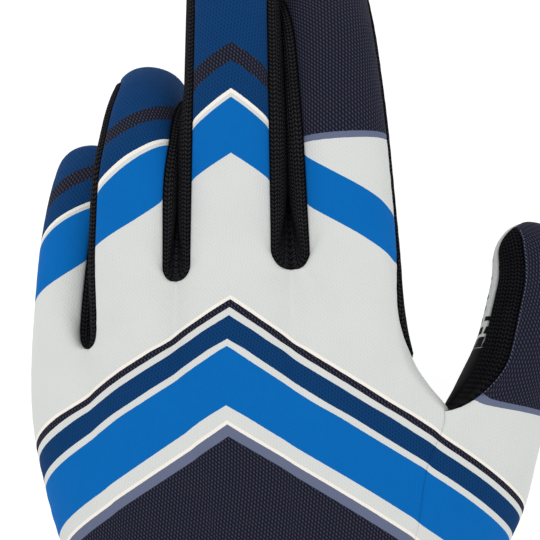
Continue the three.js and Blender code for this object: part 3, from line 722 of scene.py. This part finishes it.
# Rows of thread, each stitch a tube along a short straight line, over a share of the pitch. A row goes round
# the glove at one row of the skin, or along the thumb's seam, from after the slit's start into the cap.
ringRow = {"pitch": 3.0, "share": 0.74, "thin": 0.22, "proud": 0.1, "ink": "stitch"}
stitching = {
    "binding_stitches": {**ringRow, "row": hemTop - 1.1, "slot": "binding_tape"},
    "wrist_stitches": {**ringRow, "row": wristY - 1.7, "slot": "cuff_knit"},
    "thumb_stitches": {"pitch": 1.0, "share": 0.6, "thin": 0.14, "proud": 0.05, "aside": 0.6, "after": 3.0,
                       "capLeft": 0.4, "slot": "thumb_cloth", "ink": "thread"},
}
thread = {"rings": 7, "sides": 6, "arch": 0.55, "step": 0.25, "beside": 0.06, "around": 41}


# The skin at one row as a closed line, over the back from left to right and back under the palm, and the way
# across it at each place.
def ringAt(row):
    shares = np.linspace(0, 1, thread["around"])
    back, palm = (np.concatenate([sectorGrid(n, np.array([row]), sector, shares)[0, :-1] for n in range(5)])
                  for sector in ("back", "palm"))
    line = np.concatenate([back, palm[::-1]])
    line = line[np.linalg.norm(line - np.roll(line, 1, 0), axis=1) > 1e-4]
    return np.vstack([line, line[:1]]), np.tile([0.0, 1.0, 0.0], (len(line) + 1, 1))


# A line on the thumb's back, along its seam with the gusset, and the way from it to the seam.
def thumbLine(facts):
    end = digits[4]["start"] + digits[4]["length"] - facts["capLeft"] * digits[4]["cap"]
    rows = np.arange(slits[3]["start"] + facts["after"], end, thread["step"])
    pair = sectorGrid(4, rows, "back", np.array([0.0, thread["beside"]]))
    across = unit(pair[:, 0] - pair[:, 1])
    return pair[:, 0] - facts["aside"] * across, across


# The stitches along a line. Each rises on a sine over its length, and its radius is thin times the root of
# 1 minus the fourth power of how far a place is from its middle, so that both its ends are round.
def stitchRow(name, line, across):
    facts, rings, sides = stitching[name], thread["rings"], thread["sides"]
    far = np.r_[0, np.cumsum(np.linalg.norm(np.diff(line, axis=0), axis=1))]
    count = int(far[-1] / facts["pitch"])
    s = np.linspace(0, 1, rings)
    at = (np.arange(count) * far[-1] / count)[:, None] + s * facts["pitch"] * facts["share"]
    middle, near = (np.stack([np.interp(at, far, values[:, k]) for k in range(3)], -1)
                    for values in (line, across))
    ahead = unit(middle[:, -1] - middle[:, 0])
    out = unit(np.cross(ahead, near[:, rings // 2]))
    arch = facts["proud"] + facts["thin"] * thread["arch"] * np.sin(np.pi * s)
    middle = middle + out[:, None] * arch[:, None]
    middle[..., 2] = np.maximum(middle[..., 2], facts["thin"])
    turn = (np.arange(sides) / sides * 2 * np.pi)[:, None]
    spoke = np.cross(out, ahead)[:, None] * np.cos(turn) + out[:, None] * np.sin(turn)
    thin = facts["thin"] * np.sqrt(1 - np.clip(np.abs(2 * s - 1), 0, 0.999) ** 4)
    tube = middle[:, :, None] + thin[:, None, None] * spoke[:, None]
    index = np.arange(count * rings * sides).reshape(count, rings, sides)
    here, there = index[:, :-1], index[:, 1:]
    quads = np.stack([here, np.roll(here, -1, 2), np.roll(there, -1, 2), there], -1).reshape(-1, 4)
    ends = np.concatenate([index[:, 0, ::-1], index[:, -1]])
    polygons = quads.tolist() + ends.tolist()
    return addPiece(name, bpy.data.meshes.new(name), tube.reshape(-1, 3), polygons)


threads = {name: stitchRow(name, *(ringAt(facts["row"]) if "row" in facts else thumbLine(facts)))
           for name, facts in stitching.items()}
print("stitches:", {name: len(piece.data.vertices) for name, piece in threads.items()})


# A colour as shown, from 0 to 255, made linear by the standard curve.
def linear(rgb):
    c = np.array(rgb) / 255
    return (*np.where(c <= 0.04045, c / 12.92, ((c + 0.055) / 1.055) ** 2.4).tolist(), 1.0)


inks = {
    "white": (213, 215, 213), "cream": (242, 236, 226), "blue": (0, 101, 178), "deepBlue": (6, 58, 108),
    "navy": (17, 16, 27), "greyBlue": (100, 108, 134), "thread": (90, 96, 124), "charcoal": (24, 24, 26),
    "black": (14, 14, 16), "suede": (196, 198, 196), "lining": (52, 52, 56), "stitch": (70, 70, 76),
}


# One material and short ways to add nodes to it. A value is a number or another node's output.
class Cloth:
    def __init__(self, name):
        self.material = bpy.data.materials.new(name)
        self.material.use_nodes = True
        self.tree = self.material.node_tree
        self.shader = self.tree.nodes["Principled BSDF"]

    def put(self, socket, value):
        if isinstance(value, bpy.types.NodeSocket):
            self.tree.links.new(value, socket)
        else:
            socket.default_value = value

    def calc(self, operation, *values):
        node = self.tree.nodes.new("ShaderNodeMath")
        node.operation = operation
        for socket, value in zip(node.inputs, values):
            self.put(socket, value)
        return node.outputs[0]

    def product(self, first, *others):
        for value in others:
            first = self.calc("MULTIPLY", first, value)
        return first

    def wave(self, value, length):
        return self.calc("SINE", self.calc("MULTIPLY", value, 2 * np.pi / length))

    def onDigit(self, n):
        digit = self.lay("digit")
        return self.product(self.calc("GREATER_THAN", digit, n - 0.5), self.calc("LESS_THAN", digit, n + 0.5))

    def blend(self, share, a, b, kind="MIX"):
        node = self.tree.nodes.new("ShaderNodeMix")
        node.data_type, node.blend_type = "RGBA", kind
        self.put(node.inputs[0], share)
        self.put(node.inputs[6], a)
        self.put(node.inputs[7], b)
        return node.outputs[2]

    def tint(self, colour, shade):
        return self.blend(1.0, colour, shade, "MULTIPLY")

    def between(self, value, low, high, toLow=0.0, toHigh=1.0):
        node = self.tree.nodes.new("ShaderNodeMapRange")
        node.interpolation_type = "SMOOTHSTEP"
        for socket, v in zip(node.inputs, (value, low, high, toLow, toHigh)):
            self.put(socket, v)
        return node.outputs[0]

    # Painted shade along a seam: dark at the seam, fading to none at wide from it.
    def seam(self, edge, wide, dark):
        return self.between(edge, 0.0, wide, dark, 1.0)

    def lay(self, name="lay"):
        node = self.tree.nodes.new("ShaderNodeAttribute")
        node.attribute_name = name
        if name != "lay":
            return node.outputs["Fac"]
        parts = self.tree.nodes.new("ShaderNodeSeparateXYZ")
        self.tree.links.new(node.outputs["Vector"], parts.inputs[0])
        return parts.outputs[:3]

    def noise(self, size, detail=3.0):
        place = self.tree.nodes.new("ShaderNodeTexCoord")
        node = self.tree.nodes.new("ShaderNodeTexNoise")
        self.tree.links.new(place.outputs["Object"], node.inputs["Vector"])
        node.inputs["Scale"].default_value = 1 / (size * mm)
        node.inputs["Detail"].default_value = detail
        return node.outputs[0]

    def mottle(self, size, dark, pale, detail=3.0, spread=0.25):
        return self.between(self.noise(size, detail), 0.5 - spread, 0.5 + spread, dark, pale)

    def bands(self, value, low, high, stops):
        node = self.tree.nodes.new("ShaderNodeValToRGB")
        ramp = node.color_ramp
        ramp.interpolation = "CONSTANT"
        share = self.calc("DIVIDE", self.calc("SUBTRACT", value, low), high - low)
        self.tree.links.new(share, node.inputs[0])
        while len(ramp.elements) < len(stops):
            ramp.elements.new(0.5)
        for element, (at, ink) in zip(ramp.elements, stops):
            element.position = (at - low) / (high - low)
            element.color = linear(inks[ink])
        return node.outputs[0]

    def bump(self, height, distance, strength=1.0):
        node = self.tree.nodes.new("ShaderNodeBump")
        node.inputs["Distance"].default_value = distance * mm
        node.inputs["Strength"].default_value = strength
        self.put(node.inputs["Height"], height)
        self.put(self.shader.inputs["Normal"], node.outputs[0])

    def finish(self, colour, roughness, sheen=0.0, level=0.3, sheenSoft=0.5):
        self.put(self.shader.inputs["Base Color"], colour)
        self.put(self.shader.inputs["Roughness"], roughness)
        self.shader.inputs["Sheen Weight"].default_value = sheen
        self.shader.inputs["Sheen Roughness"].default_value = sheenSoft
        self.shader.inputs["Specular IOR Level"].default_value = level
        return self.material


# Colour bands with a thin cream line wherever a colour meets white.
def keyed(stops, line=0.45):
    out = []
    for i, (at, ink) in enumerate(stops):
        before = stops[i - 1][1] if i else ink
        if i and ink == "white":
            out += [(at, "cream"), (at + line, "white")]
        elif i and before == "white":
            out += [(at - line, "cream"), (at, ink)]
        else:
            out.append((at, ink))
    return out


# The print: chevrons that point to the fingertips. A place's height is its row plus slope times its distance
# from the middle, and the bands are steps of that height. Blocks cover the ends of digits 3 and 4, the index
# finger and the thumb. Edges wander a little. navyInk and deepInk are how bright such inks are.
chevrons = {
    "middle": -9.0, "slope": 0.62, "low": -40.0, "high": 200.0,
    "bands": [(-40, "navy"), (50, "greyBlue"), (52.4, "white"), (57.5, "blue"), (71, "white"),
              (73.2, "deepBlue"), (78.6, "white"), (80.6, "navy"), (82.8, "white"), (118, "blue"),
              (130, "white"), (131.8, "deepBlue"), (139, "navy"), (143.5, "deepBlue")],
    "indexTop": 131.0, "blocks": {3: 121.5, 4: 57.5}, "blockLength": 60.0, "border": 1.2,
    "wander": 0.12, "wanderSize": 0.9, "navyInk": (0.014, 0.035), "deepInk": (0.05, 0.12),
}
# The weave: dots on a slanted lattice, paler than navy ink and darker than the others.
weave = {"pitch": 0.86, "rows": 1.7, "slant": 0.36, "paleOnNavy": 0.45, "darkOnDeep": 0.5, "darkOnPale": 0.05,
         "grain": 0.35, "grainHigh": 0.3, "deep": 0.1}


# Dots where two slanted waves both peak: with p and q the place along and across the slant, counted in
# pitches and rows, sin squared of pi (p + q) times sin squared of pi (p - q).
def weaveDots(cloth, u, v):
    c, s = np.cos(weave["slant"]), np.sin(weave["slant"])
    p = cloth.calc("MULTIPLY_ADD", u, c / weave["pitch"], cloth.calc("MULTIPLY", v, s / weave["pitch"]))
    q = cloth.calc("MULTIPLY_ADD", v, c / weave["rows"], cloth.calc("MULTIPLY", u, -s / weave["rows"]))
    a, b = (cloth.wave(cloth.calc(kind, p, q), 2.0) for kind in ("ADD", "SUBTRACT"))
    return cloth.product(a, a, b, b)


def printedCloth(name):
    cloth = Cloth(name)
    u, v, edge = cloth.lay()
    aside = cloth.calc("ABSOLUTE", cloth.calc("SUBTRACT", u, chevrons["middle"]))
    noise = cloth.calc("SUBTRACT", cloth.noise(chevrons["wanderSize"], 1.0), 0.5)
    wander = cloth.calc("MULTIPLY", noise, chevrons["wander"])
    height = cloth.calc("ADD", cloth.calc("MULTIPLY_ADD", aside, chevrons["slope"], v), wander)
    lower = chevrons["indexTop"] - chevrons["high"]
    ceiling = cloth.calc("MULTIPLY_ADD", cloth.onDigit(3), lower, chevrons["high"])
    height, level = cloth.calc("MINIMUM", height, ceiling), cloth.calc("ADD", v, wander)
    colour = cloth.bands(height, chevrons["low"], chevrons["high"], keyed(chevrons["bands"]))
    for n, start in chevrons["blocks"].items():
        inBlock = cloth.product(cloth.onDigit(n), cloth.calc("GREATER_THAN", level, start))
        stops = [(start - 1, "greyBlue"), (start + chevrons["border"], "navy")]
        block = cloth.bands(level, start - 1, start + chevrons["blockLength"], stops)
        colour = cloth.blend(inBlock, colour, block)
    grey = cloth.tree.nodes.new("ShaderNodeRGBToBW")
    cloth.put(grey.inputs[0], colour)
    dots = weaveDots(cloth, u, v)
    navy = cloth.between(grey.outputs[0], *chevrons["navyInk"], 1.0, 0.0)
    colour = cloth.blend(cloth.product(dots, navy, weave["paleOnNavy"]), colour, linear(inks["thread"]))
    depth = cloth.between(grey.outputs[0], *chevrons["deepInk"], weave["darkOnDeep"], weave["darkOnPale"])
    depth = cloth.product(dots, depth, cloth.calc("SUBTRACT", 1.0, navy))
    # The weave's dots, a random mottle, and painted shade along the seams.
    shade = cloth.product(cloth.calc("SUBTRACT", 1.0, depth), cloth.mottle(9.0, 0.97, 1.0, 4.0, 0.3),
                          cloth.seam(edge, 0.6, 0.3))
    grain = cloth.calc("MULTIPLY", cloth.noise(weave["grain"], 2.0), weave["grainHigh"])
    cloth.bump(cloth.calc("SUBTRACT", grain, dots), weave["deep"], 0.4)
    return cloth.finish(cloth.tint(colour, shade), cloth.mottle(2.0, 0.8, 0.92, spread=0.3), level=0.1)


# Knit: slanted ribs that change direction from one course to the next, each a sine wave of its own length,
# broken into stitches by a second wave across them. The ribs' crests get a painted highlight and their dips
# painted shade, and deep between the digits, far from its seams, the knit gets painted shade.
ribs = {"pitch": 1.0, "course": 0.85, "slant": 0.75, "dark": 0.5, "pale": 3.8, "deep": 0.35,
        "paintedShade": 0.42, "paintedShadeFrom": 2.5, "paintedShadeTo": 7.0}


def ribbedKnit(name, ink):
    cloth = Cloth(name)
    u, v, edge = cloth.lay()
    side = cloth.calc("PINGPONG", u, ribs["course"])
    slanted = cloth.calc("MULTIPLY_ADD", side, ribs["slant"], v)
    rib = cloth.calc("MULTIPLY_ADD", cloth.wave(slanted, ribs["pitch"]), 0.5, 0.5)
    height = cloth.product(rib, cloth.wave(side, 2 * ribs["course"]))
    # Painted highlight on the ribs' crests and painted shade in their dips, painted shade along the seams, a
    # random mottle, and painted shade deep between the digits, far from the seams.
    shade = cloth.product(
        cloth.between(height, 0.0, 0.9, ribs["dark"], ribs["pale"]), cloth.seam(edge, 1.0, 0.55),
        cloth.mottle(5.0, 0.88, 1.08),
        cloth.between(edge, ribs["paintedShadeFrom"], ribs["paintedShadeTo"], 1.0, ribs["paintedShade"]),
    )
    cloth.bump(cloth.calc("MULTIPLY_ADD", cloth.noise(0.3, 2.0), 0.25, height), ribs["deep"], 0.8)
    return cloth.finish(cloth.tint(linear(inks[ink]), shade), 0.95, level=0.02)


# The cuff: upright ribs, the size of a sine wave, with fine courses across them.
cuffRibs = {"pitch": 4.8, "course": 0.9, "courseHigh": 0.15, "dark": 0.45, "pale": 1.15, "deep": 0.5}


def cuffKnit(name):
    cloth = Cloth(name)
    u, v, edge = cloth.lay()
    rib = cloth.calc("ABSOLUTE", cloth.wave(u, cuffRibs["pitch"]))
    rows = cloth.calc("MULTIPLY_ADD", cloth.wave(v, cuffRibs["course"]), cuffRibs["courseHigh"], rib)
    # The ribs and courses, and painted shade along the seams.
    shade = cloth.product(cloth.between(rows, 0.0, 1.0, cuffRibs["dark"], cuffRibs["pale"]),
                          cloth.seam(edge, 1.0, 0.5))
    cloth.bump(cloth.calc("MULTIPLY_ADD", cloth.noise(0.3, 2.0), 0.15, rows), cuffRibs["deep"], 0.8)
    return cloth.finish(cloth.tint(linear(inks["navy"]), shade), 0.85, sheen=0.2, level=0.2)


# The binding: a fine slanted twill.
def tape(name, pitch=0.8):
    cloth = Cloth(name)
    u, v = cloth.lay()[:2]
    twill = cloth.wave(cloth.calc("ADD", u, v), pitch)
    cloth.bump(twill, 0.1, 0.6)
    colour = cloth.tint(linear(inks["black"]), cloth.between(twill, -1.0, 1.0, 0.75, 1.1))
    return cloth.finish(colour, 0.7, sheen=0.1, level=0.3)


# Suede with a printed grip of short black bars set like bricks, with a margin along the seams. barU and barV
# are half a bar. On the thumb the bars are larger, and they grow into one another towards its root.
grip = {
    "pitchU": 4.4, "pitchV": 3.0, "barU": 1.35, "barV": 0.6, "from": 12.0, "soft": 0.1, "margin": (2.6, 3.0),
    "thumbU": 2.35, "thumbV": 1.6, "thumbRoot": 66.0, "thumbEnd": 78.0, "nap": 0.8,
}


def suede(name):
    cloth = Cloth(name)
    u, v, edge = cloth.lay()
    grown = cloth.product(cloth.onDigit(4), cloth.between(v, grip["thumbRoot"], grip["thumbEnd"], 1.0, 0.0))
    row = cloth.calc("FLOOR", cloth.calc("DIVIDE", v, grip["pitchV"]))
    shift = cloth.calc("MULTIPLY", cloth.calc("MODULO", row, 2.0), grip["pitchU"] / 2)
    x = cloth.calc("PINGPONG", cloth.calc("ADD", u, shift), grip["pitchU"] / 2)
    lift = cloth.calc("MODULO", cloth.calc("ADD", v, 100 * grip["pitchV"]), grip["pitchV"])
    y = cloth.calc("ABSOLUTE", cloth.calc("SUBTRACT", lift, grip["pitchV"] / 2))
    bars = []
    for place, plain, large in ((x, grip["barU"], grip["thumbU"]), (y, grip["barV"], grip["thumbV"])):
        past = cloth.calc("SUBTRACT", place, cloth.calc("MULTIPLY_ADD", grown, large - plain, plain))
        bars.append(cloth.between(past, -grip["soft"], grip["soft"], 1.0, 0.0))
    filled = cloth.calc("GREATER_THAN", grown, 0.02)
    zone = cloth.calc("MAXIMUM", cloth.between(edge, *grip["margin"]), filled)
    bar = cloth.product(*bars, zone, cloth.calc("GREATER_THAN", v, grip["from"]))
    nap = cloth.noise(grip["nap"], 4.0)
    # The nap, a random mottle, and painted shade along the seams.
    shade = cloth.product(cloth.between(nap, 0.25, 0.75, 0.88, 1.04), cloth.seam(edge, 0.9, 0.55),
                          cloth.mottle(14.0, 0.93, 1.02))
    colour = cloth.blend(bar, cloth.tint(linear(inks["suede"]), shade), linear(inks["black"]))
    cloth.bump(cloth.calc("MULTIPLY_ADD", nap, 0.3, bar), 0.25, 0.7)
    return cloth.finish(colour, cloth.between(bar, 0.0, 1.0, 0.95, 0.8), level=0.08)


# The inside: small knitted loops, one wave times another.
def liningKnit(name):
    cloth = Cloth(name)
    u, v = cloth.lay()[:2]
    loops = cloth.product(cloth.wave(u, 1.2), cloth.wave(v, 1.0))
    cloth.bump(loops, 0.15, 0.6)
    colour = cloth.tint(linear(inks["lining"]), cloth.between(loops, -1.0, 1.0, 0.7, 1.05))
    return cloth.finish(colour, 0.95, sheen=0.2, level=0.15)


# Sewing thread: two twisted strands, as fine slanted stripes.
def sewingThread(name, ink, pitch=0.35):
    cloth = Cloth(name)
    place = cloth.tree.nodes.new("ShaderNodeTexCoord")
    parts = cloth.tree.nodes.new("ShaderNodeSeparateXYZ")
    cloth.tree.links.new(place.outputs["Object"], parts.inputs[0])
    twist = cloth.wave(cloth.calc("ADD", parts.outputs[0], parts.outputs[1]), pitch * mm)
    cloth.bump(twist, 0.05, 0.5)
    colour = cloth.tint(linear(inks[ink]), cloth.between(twist, -1.0, 1.0, 0.7, 1.1))
    return cloth.finish(colour, 0.6, sheen=0.1, level=0.35)


finishes = {
    "printed": printedCloth("printed mesh cloth"),
    "suede": suede("suede with grip print"),
    "knit": ribbedKnit("black ribbed knit", "charcoal"),
    # The gusset gets the same knit in black ink, a darker copy as painted shade between the thumb and the
    # index.
    "gusset": ribbedKnit("gusset knit with painted shade", "black"),
    "cuff": cuffKnit("elastic cuff knit"),
    "tape": tape("binding tape"),
    "lining": liningKnit("lining knit"),
    "stitch": sewingThread("grey sewing thread", "stitch"),
    "thread": sewingThread("blue sewing thread", "thread"),
}
for name, piece in pieces.items():
    for finish in panels[name]["finish"]:
        piece.data.materials.append(finishes[finish])
for name, piece in threads.items():
    piece.data.materials.append(finishes[stitching[name]["ink"]])
print("materials:", len(finishes))

# Stage and camera, in millimetres. The floor glows a little, so that it stays as white as paper.
studio = {
    "imageMiddle": (0.5, 90.65), "imageWidth": 132.3, "cameraHeight": 4000.0, "sharpHeight": 30.0,
    "sensor": 36.0, "sky": 0.8, "floor": 0.3, "glow": 0.88, "floorHeight": -0.7, "floorReach": 12000.0,
}
# The lamps, in metres, and the place that they look at.
lamps = {
    "key light": {"place": (-0.55, 0.75, 1.3), "size": 0.8, "power": 6.0},
    "fill light": {"place": (0.9, -0.5, 1.1), "size": 1.0, "power": 3.0},
}
lampAim = Vector((0.0, 0.06, 0.02))
reach, low = studio["floorReach"] * mm, studio["floorHeight"] * mm
floorData = bpy.data.meshes.new("floor")
corners = [(-reach, -reach, low), (reach, -reach, low), (reach, reach, low), (-reach, reach, low)]
floorData.from_pydata(corners, [], [(0, 1, 2, 3)])
floor = bpy.data.objects.new("floor", floorData)
bpy.context.scene.collection.objects.link(floor)
paper = Cloth("pale floor")
paper.shader.inputs["Emission Color"].default_value = (1.0, 1.0, 1.0, 1.0)
paper.shader.inputs["Emission Strength"].default_value = studio["glow"]
floorData.materials.append(paper.finish((studio["floor"],) * 3 + (1.0,), 0.9, 0.0, 0.1))

world = bpy.data.worlds.new("studio")
bpy.context.scene.world = world
world.use_nodes = True
world.node_tree.nodes["Background"].inputs[0].default_value = (1, 1, 1, 1)
world.node_tree.nodes["Background"].inputs[1].default_value = studio["sky"]


# A square lamp that looks at the middle of the glove.
def softLight(name, place, size, power):
    lamp = bpy.data.lights.new(name, "AREA")
    lamp.size, lamp.energy = size, power
    light = bpy.data.objects.new(name, lamp)
    light.location = place
    light.visible_camera = False
    light.rotation_euler = (lampAim - Vector(place)).to_track_quat("-Z", "Y").to_euler()
    bpy.context.scene.collection.objects.link(light)


for name, lamp in lamps.items():
    softLight(name, **lamp)

lens = bpy.data.cameras.new("camera")
lens.sensor_width = studio["sensor"]
lens.lens = studio["sensor"] * (studio["cameraHeight"] - studio["sharpHeight"]) / studio["imageWidth"]
lens.clip_start, lens.clip_end = 0.1, 60.0
camera = bpy.data.objects.new("camera", lens)
camera.location = [value * mm for value in (*studio["imageMiddle"], studio["cameraHeight"])]
bpy.context.scene.collection.objects.link(camera)
bpy.context.scene.camera = camera
bpy.context.scene.view_settings.view_transform = "Standard"
